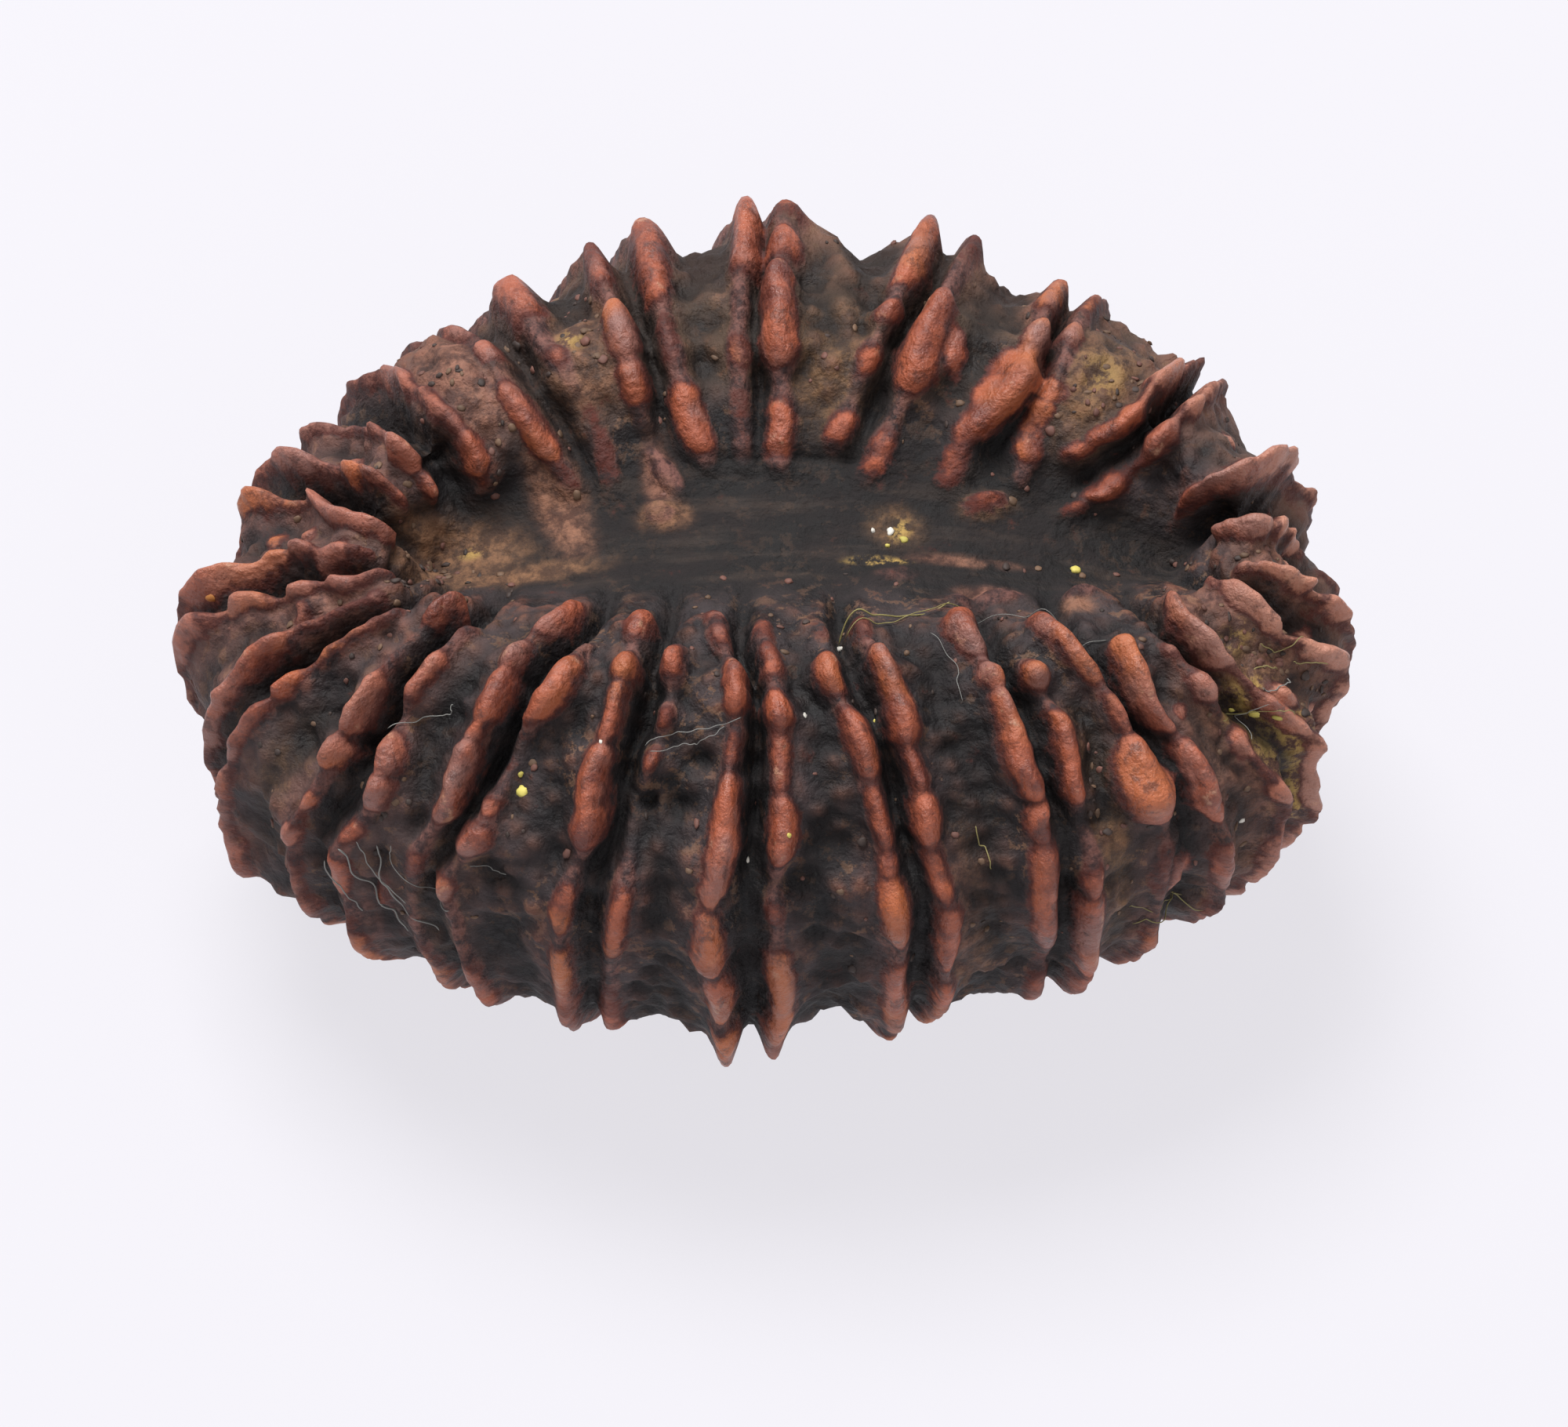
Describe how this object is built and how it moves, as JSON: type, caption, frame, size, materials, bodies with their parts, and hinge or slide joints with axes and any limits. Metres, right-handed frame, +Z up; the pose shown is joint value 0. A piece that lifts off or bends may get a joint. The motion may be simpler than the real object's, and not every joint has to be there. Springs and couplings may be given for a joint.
{
  "type": "rudraksha bead",
  "caption": "Dried rudraksha seed stone: oval bead with a long valley on top and ridges beside grooves that run from top to underside.",
  "frame": {"origin": "middle of the box of the bead, at the height of the surface it lies on", "axes": "+X along the long valley, +Y across it, +Z up out of the upper valley"},
  "size_m": [0.0348, 0.026, 0.0167],
  "materials": {
    "dried_seed": "dry, rough dried seed stone with worn satin ridge crests"
  },
  "bodies": {
    "root": {"rudraksha_bead": "dried_seed"}
  },
  "joints": []
}
